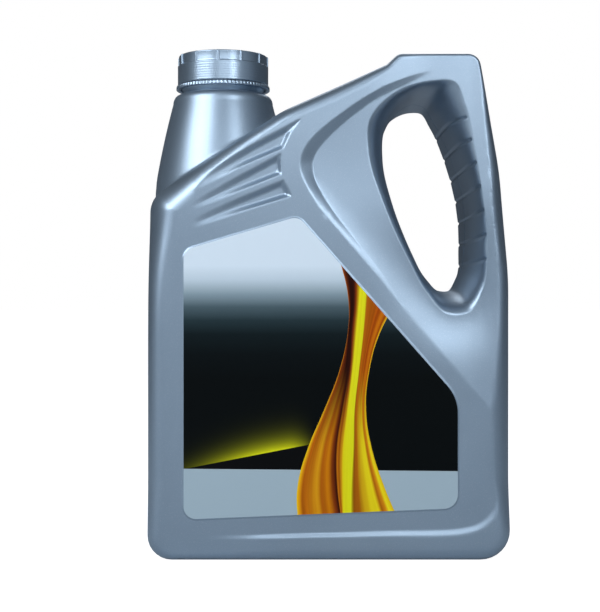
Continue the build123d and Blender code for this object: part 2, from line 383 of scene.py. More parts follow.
def edgeRounding(points):
    # the edge's rounding radius: larger at the left shoulder and the right, smaller at the base and the grip
    x, z = points[:, 0], points[:, 1]
    low = 1 - smoothStep(6, 45, z)
    high = smoothStep(top - 40, top - 8, z) * smoothStep(0, 40, x)
    shoulder = np.exp(-((x + right)**2 + (z - top + 78)**2) / (2 * 24.0**2))
    rightSide = smoothStep(right - 40, right - 12, x) * smoothStep(top - 20, top - 90, z) * (1 - low)
    radius = bottle["edgeRadius"]
    for share, key in ((low, "base"), (shoulder, "shoulder"), (rightSide, "right"), (high, "grip")):
        radius = radius + share * (bottle[key + "EdgeRadius"] - bottle["edgeRadius"])
    return radius


def facetLevel(points):
    # how deep the grip's facet lies: a plane tilted about the crease, levelling out, and a pocket
    along = (creaseEnd - creaseFoot) / np.linalg.norm(creaseEnd - creaseFoot)
    side = np.array([-along[1], along[0]])
    offset = (points - creaseFoot) @ side
    beyond = np.maximum(offset, 0)
    low = smoothStep(top - 70, top - 150, points[:, 1])
    slope = bottle["facetTilt"] * (1 + bottle["facetSteepening"] * low)
    tilt = bottle["facetDepth"] * (1 - np.exp(-beyond * slope / bottle["facetDepth"]))
    centre = np.array([right - 104.0, top - 60.0])
    away = ((points - centre)**2).sum(1)
    return tilt + bottle["pocketDepth"] * np.exp(-away / (2 * 34.0**2)) * smoothStep(-6, 10, offset)


def faceDepth(points):
    # distance of the front face from the parting plane: rounded slab, less facet, crescent, flutes and panel
    level = facetLevel(points)
    x, z = points[:, 0], points[:, 1]
    zone = np.vstack([crescentOuter[::-1], [(right - 36.5, top + 20.0), (right + 30, top + 20.0),
                                            (right + 30, creaseEnd[1] - 30), creaseEnd]])
    within = inside(zone, points)
    outer = distanceTo(crescentOuter, points)
    inner = distanceTo(crescentInner, points)
    pad = inside(np.vstack([crescentInner, crescentOuter[::-1]]), points)
    share = np.where(pad, outer / np.maximum(outer + inner, 1e-6), within * 1.0)
    overTop = smoothStep(right - 78, right - 40, x)
    level = level * (overTop + (1 - overTop) * np.where(within, bevelled(share), 0.0))
    dimple = smoothStep(top - 80, top - 138, z) * smoothStep(right - 4, right - 16, x)
    level = level + bottle["dimpleDepth"] * dimple * np.exp(-np.maximum(-signedInside(lip, points), 0)**2
                                                            / (2 * bottle["dimpleReach"]**2))
    for loop in fluteLoops:
        near = signedInside(loop, points)
        fade = smoothStep(-right + 22, -right + 62, x)
        level = level + bottle["fluteDepth"] * fade * bevelled(near / bottle["fluteWall"])
    level = level + skirtLevel(points)
    panel = bevelled((signedInside(panelLoop, points) + 0.3) / 0.8)
    level = level + (bottle["panelDepth"] - bottle["skirtStep"]) * panel
    radius = edgeRounding(points)
    edge = np.clip(signedInside(outline, points), 0, None)
    across = np.clip(radius - edge, 0, radius)
    slab = halfDepth - radius + np.sqrt(np.maximum(radius**2 - across**2, 0))
    cut = halfDepth - level
    blend = np.clip(0.5 + (cut - slab) / 1.2, 0, 1)  # soft minimum of slab and cut, over about a millimetre
    return slab * blend + cut * (1 - blend) - 0.3 * blend * (1 - blend)


def facePatch():
    # the front face between the outline and the hand hole, with points along every edge of the relief
    rings = []
    radius = edgeRounding(outline)
    normals = loopNormals(outline)
    # rings at equal turns of the rounded edge, and one further in on the flat
    for angle in np.radians([13, 24, 35, 46, 57, 68, 79, 90, 100]):
        distance = radius * (1 - math.cos(min(angle, math.pi / 2))) + (2.5 if angle > 1.6 else 0)
        ring = outline + normals * distance[:, None]
        rings.append(ring[np.abs(signedInside(outline, ring) - distance) < 0.05])
    for distance in (0.7, 1.8, 3.2, 5.5):
        rings.append(shiftedLoop(lip, -distance))
    for path in (crescentOuter, crescentInner):
        rings += beside(path, (-1.8, -0.8, -0.3, 0.0, 0.3, 0.8, 1.8))
    rings += beside(np.linspace(creaseFoot, creaseEnd, 40), (3, 1.2, 0, -1.2, -3))
    rings += [shiftedLoop(panelLoop, distance) for distance in (-0.8, -0.3, 0.2, 0.7, 1.4)]
    rings += beside(skirtCurve, (-5.0, -3.9, -3.0, -2.3, -1.6, -0.8, 0.0, 0.7, 2.0))
    for loop in fluteLoops:
        dense = roundedLoop(loop, [0.3] * len(loop), [1] * len(loop), 1.1)
        ahead = np.roll(dense, -1, axis=0)
        sign = np.sign(np.sum(dense[:, 0] * ahead[:, 1] - dense[:, 1] * ahead[:, 0]))  # of its area
        for distance in (-0.7, 0.0, 0.4, 1.3, 2.2, 2.6, 3.4):
            ring = shiftedLoop(dense, sign * distance)
            rings.append(ring[np.abs(signedInside(loop, ring) - distance) < 0.12])
    marked = np.vstack(rings)
    marked = marked[np.unique(np.round(marked / 0.3), axis=0, return_index=True)[1]]  # one point per cell
    loose = thinned(hexGrid((-right, 0), (right, top), 3.4), marked, 2.0)
    points = np.vstack([marked, loose])
    points = points[inside(outline, points) & ~inside(lip, points)]
    gap = np.minimum(distanceTo(outline, points, closed=True), distanceTo(lip, points, closed=True))
    points = points[gap > 0.12]
    flat, faces = fillFlat([outline, lip], points, lambda c: inside(outline, c) & ~inside(lip, c))
    return np.stack([flat[:, 0], -faceDepth(flat), flat[:, 1]], 1), faces


def wallRows():
    # shares of the way from the face's edge to the parting line, closer together beside the line
    line = 2 * bottle["partingHalf"] / bottle["wallDepth"]
    return np.concatenate([np.linspace(0, 1, bottle["wallRows"])[:-1] * (1 - line), [1 - line / 2, 1.0]])


def lineRidge(y):
    # the fine ridge that the two mould halves leave at the parting plane
    return bottle["partingLine"] * np.clip(1 - np.abs(y) / bottle["partingHalf"], 0, 1)


def baseRecess(x, y):
    # push-up of the base: rises to its full height inside a flat standing rim
    rim = np.minimum(halfWidth - np.abs(x), halfDepth - np.abs(y)) - bottle["standingRim"]
    return bottle["pushUp"] * smoothStep(0, bottle["pushUpRun"], rim)


def wallPatch(first, last):
    # side wall between two vertices of the outline: a strip from the face's edge to the parting plane
    ids = np.arange(first, last + 1) % len(outline)
    path = outline[ids]
    outward = -loopNormals(outline)[ids]
    edge = faceDepth(path)
    share = wallRows()
    y = -edge[None] * (1 - share[:, None])
    ridge = lineRidge(y)
    x = path[None, :, 0] + outward[None, :, 0] * ridge
    z = path[None, :, 1] + outward[None, :, 1] * ridge
    onBase = np.abs(path[None, :, 1]) < 0.01
    z = z + np.where(onBase, baseRecess(x, y) + ridge, 0)
    grid = np.stack([x, y, z], -1).reshape(-1, 3)
    return grid, gridFaces(len(share), len(ids))[:, ::-1]


def coneRadius(angle, z):
    # the neck's radius: a cone that is flat on its left, flush with the bottle's side
    below = bottle["coneTop"] - z
    radius = bottle["coneTopRadius"] + bottle["coneSlope"] * below - bottle["coneBend"] * below**2
    flat = (halfWidth + neckX - 0.25) / np.maximum(-np.sin(angle), 0.02)
    return np.minimum(radius, flat)


def throatPatch():
    # the hand hole's side, from the face to the parting plane: it leaves the face at a slope and steepens,
    # depth lost = slope * width * u + rest * (1 - (1 - u**m)**(1 / m)), with u from 0 at the face to 1
    depth = faceDepth(lip)[None]
    width = lengths(lip - throat)[None]
    low = smoothStep(top - 94, top - 124, lip[:, 1])[None]  # softer round the bottom of the hole
    power = bottle["throatPower"] + low * (bottle["throatLowPower"] - bottle["throatPower"])
    u = np.concatenate([[0, 0.02, 0.045, 0.075, 0.11], np.linspace(0.15, 0.9, 12),
                        [0.94, 0.965, 0.98, 0.99, 0.996, 1.0]])[:, None]
    slope = bottle["throatSlope"] * (1 - 0.9 * low)
    first = slope * width * (u - 0.08 * (1 - np.exp(-u / 0.08)))
    drop = first + (depth - slope * width) * (1 - (1 - u**power)**(1 / power))
    y = -(depth - drop)
    steps = np.array([0.75, 0.5, 0.25, 0.06, 0.03, 0.0])[:, None]  # the last stretch, to the parting plane
    y = np.vstack([y[:-1], y[-2] * steps])
    u = np.vstack([u[:-1], 1 - (1 - u[-2]) * steps**2])
    share = 1 - u
    flat = throat[None] + (lip - throat)[None] * share[..., None]
    arc = np.concatenate([[0], np.cumsum(lengths(np.diff(throat, axis=0)))])
    gripIds = np.flatnonzero(np.arange(len(throat)) > sum(holeRuns[:9]))  # from the hole's lowest point on
    start = np.interp(top - bottle["fingerTop"], throat[gripIds, 1], arc[gripIds])
    marks = start - np.arange(bottle["fingerCount"]) * bottle["fingerPitch"]
    levels = np.interp(marks, arc[gripIds], throat[gripIds, 1])
    height = flat[..., 1] - bottle["fingerRise"] * share
    index = np.interp(-height, -levels, np.arange(len(levels)), left=-1, right=len(levels))
    away = np.abs(height[..., None] - levels).min(-1)
    groove = (1 - bevelled(away / bottle["fingerWidth"], 0.3)) * (0.5 + 0.5 * smoothStep(0.06, 0.4, share))
    between = (index > 0) & (index < bottle["fingerCount"] - 1)
    scallop = bottle["fingerSwell"] * np.sin(math.pi * index)**2 * between * smoothStep(0.0, 0.4, share)
    onGrip = np.isin(np.arange(len(throat)), gripIds) * smoothStep(top - 140, top - 118, throat[:, 1])
    fade = 1 - smoothStep(0.72, 0.92, share)
    push = (bottle["fingerGroove"] * groove - scallop) * onGrip[None] * fade
    inward = loopNormals(throat)
    ridge = lineRidge(y)
    x = flat[..., 0] + push * (1 - 0.5 * share) + inward[None, :, 0] * ridge
    z = flat[..., 1] + inward[None, :, 1] * ridge
    y = y + push * share
    grid = np.stack([x, y, z], -1).reshape(-1, 3)
    return grid, gridFaces(len(share), len(lip), closed=True)


def topPath():
    # the stretch of the outline that carries the neck, from the left side to the crest, and its arc length
    start = int(np.argmin(np.abs(outline[:, 0] + right) + np.abs(outline[:, 1] - (top - 88))))
    end = int(np.argmin(((outline - np.array([-right + 84.0, top - 25.0]))**2).sum(1)))
    ids = np.arange(start, end - 1, -1)
    path = outline[ids]
    length = np.concatenate([[0], np.cumsum(lengths(np.diff(path, axis=0)))])
    return ids, path, length


def threadRidge(turn, height, start):
    # share of the thread's depth at an angle and a height: a trapezoid along a helix, faded at both ends
    pitch = bottle["threadPitch"]
    offset = height - start - pitch * turn / (2 * math.pi)
    wrap = np.round(offset / pitch)
    along = turn / (2 * math.pi) + wrap
    ridge = np.clip((bottle["threadHalf"] - np.abs(offset - wrap * pitch)) / bottle["threadFlank"], 0, 1)
    return ridge * smoothStep(*bottle["threadIn"], along) * (1 - smoothStep(*bottle["threadOut"], along))


def neckPatches():
    # shoulder top with the neck's footprint cut out, the valley fillet, the cone and the threaded finish
    ids, path, length = topPath()
    places = path[:, 0] + np.arange(len(path)) * 1e-6  # always rising, as interpolation needs
    angles = np.linspace(-math.pi / 2, math.pi / 2, bottle["columns"])

    def ring(radius, height):
        # half a ring round the neck's axis, from its left over the front to its right
        height = np.broadcast_to(height, angles.shape)
        return np.stack([neckX + radius * np.sin(angles), -radius * np.cos(angles), height], 1)

    low = np.full(len(angles), top - 90.0)
    high = np.full(len(angles), bottle["coneTop"])
    for _ in range(40):  # halving: the height at which each generator of the cone meets the shoulder
        z = (low + high) / 2
        x = neckX + coneRadius(angles, z) * np.sin(angles)
        ground = np.interp(x, places, path[:, 1])
        low, high = np.where(ground > z, z, low), np.where(ground > z, high, z)
    radius = coneRadius(angles, z)
    x = neckX + radius * np.sin(angles)
    y = -radius * np.cos(angles)
    print("neck meets the shoulder between", round(float(z.min()), 1), "and", round(float(z.max()), 1), "mm")
    foot = np.stack([np.interp(x, places, length), y], 1)
    run = np.gradient(foot, axis=0)
    away = np.stack([run[:, 1], -run[:, 0]], 1)
    away /= lengths(away)[:, None]
    away[0], away[-1] = (-1, 0), (1, 0)
    reach = 0.5 + 2.7 * smoothStep(-math.pi / 2, -0.5, angles) + 4.6 * smoothStep(0.5, 1.3, angles)
    edge = foot + away * reach[:, None]
    edge[0, 1] = edge[-1, 1] = 0.0

    def onWall(flat):
        # bends a flat pattern of the shoulder over the outline
        x, z = (np.interp(flat[:, 0], length, path[:, axis]) for axis in (0, 1))
        return np.stack([x, flat[:, 1], z], 1)

    side = faceDepth(path)
    share = wallRows()
    left = np.stack([np.full(len(share), 0.0), -side[0] * (1 - share)], 1)
    rightSide = np.stack([np.full(len(share), length[-1]), -side[-1] * (1 - share)], 1)
    brim = np.stack([length, -side], 1)
    lineLeft = np.stack([np.linspace(0, edge[0, 0], 6)[1:-1], np.zeros(4)], 1)
    lineRight = np.stack([np.linspace(edge[-1, 0], length[-1], 12)[1:-1], np.zeros(10)], 1)
    loop = np.vstack([brim, rightSide[1:], lineRight[::-1], edge[::-1], lineLeft[::-1], left[::-1][:-1]])
    spots = hexGrid((0, -side.max()), (length[-1], 0), 3.0)
    near = np.vstack([edge + away * distance for distance in (1.2, 2.8)]
                     + [line - [0, distance] for distance in (0.6, 1.2) for line in (lineLeft, lineRight)])
    near = near[inside(loop, near)]
    near = near[distanceTo(loop, near, closed=True) > 0.3]
    spots = thinned(spots[inside(loop, spots)], np.vstack([near, loop]), 1.6)
    flat, faces = fillFlat([loop], np.vstack([near, spots]), lambda c: inside(loop, c))
    shoulder = onWall(flat)
    tangent = np.gradient(path, axis=0)
    outX = np.interp(flat[:, 0], length, -tangent[:, 1] / lengths(tangent))
    outZ = np.interp(flat[:, 0], length, tangent[:, 0] / lengths(tangent))
    ridge = lineRidge(flat[:, 1]) * ((flat[:, 0] < edge[0, 0] - 0.5) | (flat[:, 0] > edge[-1, 0] + 0.5))
    shoulder[:, 0] += outX * ridge
    shoulder[:, 2] += outZ * ridge

    # fillet in the valley: parabolas from the shoulder to the cone, with their corner where the two meet
    rise = z + reach
    ground, corner, above = onWall(edge), ring(radius, z), ring(coneRadius(angles, rise), rise)
    rows = [((1 - t)**2 * ground + 2 * t * (1 - t) * corner + t * t * above) for t in np.linspace(0, 1, 8)]
    coneEnd = bottle["coneTop"] - bottle["coneRounding"]
    for t in np.linspace(0, 1, 20)[1:]:
        height = rise + (coneEnd - rise) * t
        rows.append(ring(coneRadius(angles, height), height))
    endRadius = float(coneRadius(np.zeros(1), coneEnd)[0])
    for a in np.radians([12, 25, 38, 51, 64, 77, 90]):
        rows.append(ring(endRadius - bottle["coneRoundingWidth"] * (1 - math.cos(a)),
                         coneEnd + bottle["coneRounding"] * math.sin(a)))
    # seat, the groove under the band, and the bead that holds the band
    coneTop, seat, waist = bottle["coneTop"], bottle["seatRadius"], bottle["waistRadius"]
    bead = bandLow[2] + bottle["beadRise"]
    for wide, height in [(seat + 0.2, coneTop + 0.05), (seat, coneTop + 0.15), (seat, coneTop + 0.5),
                         (seat - 0.3, coneTop + 0.7), (waist, coneTop + 0.75), (waist, coneTop + 0.9),
                         (seat, bead + 0.05), (seat + 0.05, bead + 0.4), (seat - 0.7, bead + 1.1),
                         (bottle["finishRadius"], bead + 2.2)]:
        rows.append(ring(wide, height))
    finish, mouth, finishTop = bottle["finishRadius"], bottle["mouthRadius"], bottleHigh[2]
    lipRows = [ring(wide, height) for wide, height in [(finish, finishTop - 0.4), (finish - 0.4, finishTop),
                                                       (mouth + 0.4, finishTop), (mouth, finishTop - 0.4)]]
    lipRows += [ring(wide, coneTop - depth) for wide, depth in bottle["innerProfile"]]

    def solid(mirror):
        # the whole neck of one half; the thread is the only part that isn't the same on both
        turn = np.arctan2(-np.cos(angles) * mirror, np.sin(angles)) % (2 * math.pi)
        grid = list(rows)
        for height in np.arange(bead + 2.5, finishTop - 0.5, 0.3):
            ridge = threadRidge(turn, height, coneTop + bottle["threadRise"])
            grid.append(ring(finish + bottle["threadDepth"] * ridge, height))
        grid += lipRows
        return np.vstack(grid), gridFaces(len(grid), len(angles))

    return ids, (shoulder, faces), [solid(1), solid(-1)]


def buildBottle():
    face = facePatch()
    print("face of", len(face[0]), "points")
    ids, shoulder, necks = neckPatches()
    shared = [face, shoulder, wallPatch(ids[0], ids[-1] + len(outline)), throatPatch()]
    back = []
    for points, faces in shared + [necks[1]]:
        turned = np.array(points)
        turned[:, 1] *= -1
        back.append((turned, np.asarray(faces)[:, ::-1]))
    return makeMesh("bottle_shell", shared + [necks[0]] + back)


bottlePiece = buildBottle()
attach(bottlePiece, "root")
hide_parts("bottle")
print("bottle of", len(bottlePiece.data.polygons), "faces")


def revolved(rows, angles):
    # surface of revolution about the neck's axis: each row is a radius, or one per angle, and a height
    radius, height = (np.array([np.broadcast_to(row[part], angles.shape) for row in rows]) for part in (0, 1))
    points = np.stack([neckX + radius * np.cos(angles), radius * np.sin(angles), height], -1)
    return points.reshape(-1, 3), gridFaces(len(rows), len(angles), closed=True)


def quarterRound(fromPoint, corner, toPoint, count=5):
    # a few rows of a quarter circle between two profile points, turning at the corner
    a, b, c = (np.array(p, float) for p in (fromPoint, corner, toPoint))
    turns = np.radians(np.linspace(0, 90, count + 1))
    centre = a + c - b
    return [tuple(centre + (a - centre) * math.cos(t) + (c - centre) * math.sin(t)) for t in turns]


cap = {
    "wall": 1.75,
    "crownThickness": 1.8,
    "ledgeDrop": 5.7,
    "ribCount": 12,
    "ribWidth": 1.3,
    "ribHeight": 0.65,
    "ribTurn": 27.0,
    "rounding": 0.8,
    "turningPitch": 1.35,
    "turningDepth": 0.035,
    "threadGap": 0.7,
    "dish": 0.35,
    "dishRadius": 21.0,
}


def buildCap():
    # turned cup: the radius is the wall's, less the shallow recess between ribs, plus fine turning lines
    radius = (capHigh[0] - capLow[0]) / 2
    low, high = capLow[2], capHigh[2]
    ledge = high - cap["ledgeDrop"]
    half = math.pi * radius / cap["ribCount"]
    arcs = np.array([0, 0.3, 0.48, 0.58, 0.68, 0.8, 1.1, 1.8, 3.0, 4.3, 5.5])
    arcs = np.concatenate([-arcs[:0:-1], arcs, [half]]) / radius
    centres = math.radians(cap["ribTurn"]) + np.arange(cap["ribCount"]) * 2 * math.pi / cap["ribCount"]
    angles = (centres[:, None] + arcs[None]).ravel()
    away = np.abs(np.tile(arcs * radius, cap["ribCount"]))
    rib = 1 - smoothStep(cap["ribWidth"] / 2 - 0.17, cap["ribWidth"] / 2 + 0.12, away)
    recess = cap["ribHeight"] * (1 - rib)
    bore = radius - cap["wall"]
    under = high - cap["crownThickness"]
    start = bottle["coneTop"] + bottle["threadRise"] - bottle["threadPitch"] / 2
    rows = [(0.001, under), (8.0, under), (16.0, under), (bore - 0.5, under), (bore, under - 0.5)]
    for height in np.arange(under - 1.0, low + 0.4, -0.32):
        ridge = threadRidge(angles % (2 * math.pi), height, start)
        rows.append((bore - (bore - bottle["finishRadius"] - cap["threadGap"]) * ridge, height))
    rows += [(bore, low + 0.3), (bore + 0.3, low)]
    rows += quarterRound((radius - 0.35, low), (radius, low), (radius, low + 0.35), 3)
    for height in np.arange(low + 0.6, ledge - 0.35, 0.225):
        wave = 0.5 + 0.5 * np.cos(2 * math.pi * (height - low) / cap["turningPitch"])
        rows.append((radius - cap["turningDepth"] * wave**6, height))
    # the ledge from which the ribs rise
    for share, rise in ((0, -0.3), (0.12, -0.12), (0.45, 0), (0.88, 0.05), (1, 0.25), (1, 0.9), (1, 2)):
        rows.append((radius - recess * share, ledge + rise))
    for turn in np.radians(np.linspace(0, 90, 8)):
        corner = cap["rounding"] * (1 - math.cos(turn))
        edge = high - cap["rounding"] * (1 - math.sin(turn))
        rows.append((radius - corner - recess * (1 - turn / math.pi), edge))
    # the crown: a flat rim, the dished middle and the gate mark
    dish, bottom = cap["dishRadius"], high - cap["dish"]
    rows += [(radius - cap["rounding"] - 1.2, high), (dish + 0.4, high), (dish, high - 0.1),
             (dish - 0.6, bottom), (14.0, bottom), (7.0, bottom), (2.2, bottom), (1.9, bottom + 0.15),
             (0.001, bottom + 0.15)]
    return makeMesh("screw_cap", [revolved(rows, angles)])


band = {
    "toothCount": 76,
    "toothDepth": 0.42,
    "wall": 1.8,
    "lipDepth": 0.8,
    "lipHeight": 0.9,
    "footGap": 0.3,
}


def buildBand():
    # ring whose outside is cut by upright teeth: the radius dips between teeth, less so towards the lower rim
    radius = (bandHigh[0] - bandLow[0]) / 2
    low, high = bandLow[2] + band["footGap"], bandHigh[2]
    perTooth = np.array([0, 0.12, 0.3, 0.5, 0.7, 0.88])
    angles = ((np.arange(band["toothCount"])[:, None] + perTooth) * 2 * math.pi / band["toothCount"]).ravel()
    valley = np.tile([1.0, 0.75, 0.12, 0.0, 0.12, 0.75], band["toothCount"]) * band["toothDepth"]
    inner = radius - band["wall"]
    lip = inner - band["lipDepth"]
    rows = [(inner, high - 0.2), (inner, low + band["lipHeight"] + 0.5), (lip, low + band["lipHeight"]),
            (lip, low + 0.2), (lip + 0.2, low), (radius - 0.6, low)]
    rows += quarterRound((radius - 0.5, low), (radius - 0.1, low), (radius - 0.1, low + 0.35), 3)
    outside = radius - valley
    rows += [(outside - 0.1, low + 0.5), (outside - 0.12, low + 1.3), (outside - 0.22, low + 1.9),
             (outside - 0.5, low + 2.3), (radius - 0.9 - valley * 0.8, high - 0.05), (radius - 1.3, high),
             (inner + 0.2, high), (inner, high - 0.2)]
    return makeMesh("tamper_ring", [revolved(rows, angles)])


capPiece = buildCap()
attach(capPiece, "cap")
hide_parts("cap")
bandPiece = buildBand()
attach(bandPiece, "root")
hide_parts("tamper_band")
print("cap of", len(capPiece.data.polygons), "faces, tamper band of", len(bandPiece.data.polygons))


def linear(hexColour):
    # sRGB hex to linear red, green, blue and alpha
    values = [int(hexColour[i:i + 2], 16) / 255 for i in (1, 3, 5)]
    return [v / 12.92 if v <= 0.04045 else ((v + 0.055) / 1.055)**2.4 for v in values] + [1.0]


def addNode(tree, kind, settings=None, links=None):
    # one node with its settings and the sockets that feed it
    node = tree.nodes.new("ShaderNode" + kind)
    for name, value in (settings or {}).items():
        if isinstance(name, int) or name in node.inputs:
            node.inputs[name].default_value = value
        else:
            setattr(node, name, value)
    for name, source in (links or {}).items():
        tree.links.new(source, node.inputs[name])
    return node


def newMaterial(name):
    material = bpy.data.materials.new(name)
    material.use_nodes = True
    material.node_tree.nodes.clear()
    return material, material.node_tree


def colourRamp(tree, value, stops):
    # colour over a value, from (position, hex) pairs
    node = addNode(tree, "ValToRGB", links={0: value})
    elements = node.color_ramp.elements
    elements.remove(elements[1])
    elements[0].position = stops[0][0]
    elements[0].color = linear(stops[0][1])
    for position, colour in stops[1:]:
        elements.new(position).color = linear(colour)
    return node.outputs["Color"]


plastic = {
    "body": "#9cb0c3",
    "dark": "#92a6ba",
    "fleck": "#b9c8d6",
    "metallic": 0.85,
    "roughness": 0.37,
    "fleckSize": 0.22,
    "mottleSize": 38.0,
    "grainSize": 0.45,
    "grainHeight": 0.012,
}


def pearlPlastic(name, roughness):
    # plastic pigmented with silver mica: satin, with broad highlights, tiny flecks and a fine grain
    material, tree = newMaterial(name)
    where = addNode(tree, "TexCoord").outputs["Object"]
    mottle = addNode(tree, "TexNoise", {"Scale": 1 / (plastic["mottleSize"] * mm), "Detail": 3.0},
                     {"Vector": where}).outputs["Fac"]
    flecks = addNode(tree, "TexVoronoi", {"Scale": 1 / (plastic["fleckSize"] * mm)},
                     {"Vector": where}).outputs["Color"]
    chance = addNode(tree, "SeparateColor", links={0: flecks}).outputs[0]
    bright = addNode(tree, "MapRange", {"From Min": 0.9, "From Max": 1.0, "To Max": 0.5},
                     {"Value": chance}).outputs[0]
    base = addNode(tree, "Mix", {"data_type": "RGBA", 6: linear(plastic["dark"]),
                                           7: linear(plastic["body"])}, {0: mottle}).outputs[2]
    colour = addNode(tree, "Mix", {"data_type": "RGBA", 7: linear(plastic["fleck"])},
                     {0: bright, 6: base}).outputs[2]
    gloss = addNode(tree, "MapRange", {"To Min": roughness - 0.03, "To Max": roughness + 0.03},
                    {"Value": mottle}).outputs[0]
    grain = addNode(tree, "TexNoise", {"Scale": 1 / (plastic["grainSize"] * mm), "Detail": 2.0},
                    {"Vector": where}).outputs["Fac"]
    bump = addNode(tree, "Bump", {"Strength": 1.0, "Distance": plastic["grainHeight"] * mm},
                   {"Height": grain}).outputs[0]
    surface = addNode(tree, "BsdfPrincipled", {"Metallic": plastic["metallic"], "IOR": 1.51},
                      {"Base Color": colour, "Roughness": gloss, "Normal": bump})
    addNode(tree, "OutputMaterial", links={"Surface": surface.outputs[0]})
    return material


# heights and sideways places on the label, in mm from the frame's origin; the stream's five curves run over
# the heights, and its colours go from its left edge to its right one
labelPrint = {
    "fadeTop": 156.0,
    "fadeBottom": 96.0,
    "footLine": 48.3,
    "footTilt": -0.0087,
    "wedgeAt": (-70.6, 50.0),
    "wedgeSlope": 0.195,
    "glowMiddle": -30.0,
    "glowReach": 3.4,
    "glowSpread": 28.0,
    "glowColour": "#e2e61c",
    "wedgeColour": "#0a0c0e",
    "footColour": "#a2b7c4",
    "hairline": "#a9bbc6",
    "field": [(0.0, "#070c0e"), (0.22, "#0a1114"), (0.4, "#121d21"), (0.52, "#26363c"), (0.64, "#4c5f68"),
              (0.75, "#869ba7"), (0.88, "#c2d4e2"), (1.0, "#d8e8f6")],
    "heights": [24.0, 40.0, 60.0, 80.0, 100.0, 121.0, 138.0, 156.0],
    "leftEdge": [-16.6, -16.6, -11.1, -2.6, 5.2, 9.9, 10.2, 6.4],
    "darkStrand": [6.2, 3.9, 3.6, 6.6, 9.9, 10.7, 12.0, 10.5],
    "yellowLeft": [7.6, 7.6, 8.0, 10.1, 12.4, 14.5, 16.0, 17.0],
    "yellowRight": [11.8, 12.0, 12.9, 13.5, 15.7, 18.1, 19.4, 20.5],
    "rightEdge": [35.8, 29.0, 22.5, 19.5, 21.1, 27.0, 37.0, 52.0],
    "span": 140.0,
    "streamLow": [
        (0.0, "#f2d81c"), (0.016, "#e8a818"), (0.035, "#b8600f"), (0.075, "#c87a14"), (0.12, "#dca21c"),
        (0.155, "#b8600f"), (0.19, "#d0820f"), (0.225, "#8a3c10"), (0.25, "#34100a"), (0.27, "#5a200c"),
        (0.30, "#c87a12"), (0.36, "#b05a10"), (0.44, "#d8a818"), (0.5, "#e8e222"), (0.745, "#e0e222"),
        (0.765, "#a8600f"), (0.80, "#b86a10"), (0.83, "#dcc01c"), (0.905, "#ecdc20"), (0.93, "#c07010"),
        (0.955, "#d89018"), (0.97, "#f4e424"), (1.0, "#e0c018")],
    "streamHigh": [
        (0.0, "#d8901a"), (0.03, "#8a3c10"), (0.09, "#5a240c"), (0.18, "#2a0e08"), (0.33, "#34120a"),
        (0.40, "#8a3c10"), (0.47, "#d0b01c"), (0.5, "#e8e222"), (0.74, "#e4e624"), (0.76, "#b06010"),
        (0.82, "#c0640e"), (0.88, "#a84a0a"), (0.93, "#c8720f"), (0.97, "#a04408"), (0.985, "#e0a818"),
        (1.0, "#f0c81c")],
    "streamBlend": (55.0, 105.0),
    "ripple": [(0.35, "#5a4a30"), (0.65, "#cfc4a0")],
    "rippleShare": 0.35,
}


def curveOver(tree, height, values):
    # a smooth curve of sideways place over height, both scaled to 0..1 of the print's span
    node = addNode(tree, "FloatCurve", links={"Value": height})
    points = node.mapping.curves[0].points
    heights, span = labelPrint["heights"], labelPrint["span"]
    spots = [((h - heights[0]) / span, (v + span / 2) / span) for h, v in zip(heights, values)]
    points[0].location = spots[0]
    points[1].location = spots[-1]
    for spot in spots[1:-1]:
        points.new(*spot)
    node.mapping.update()
    return node.outputs[0]


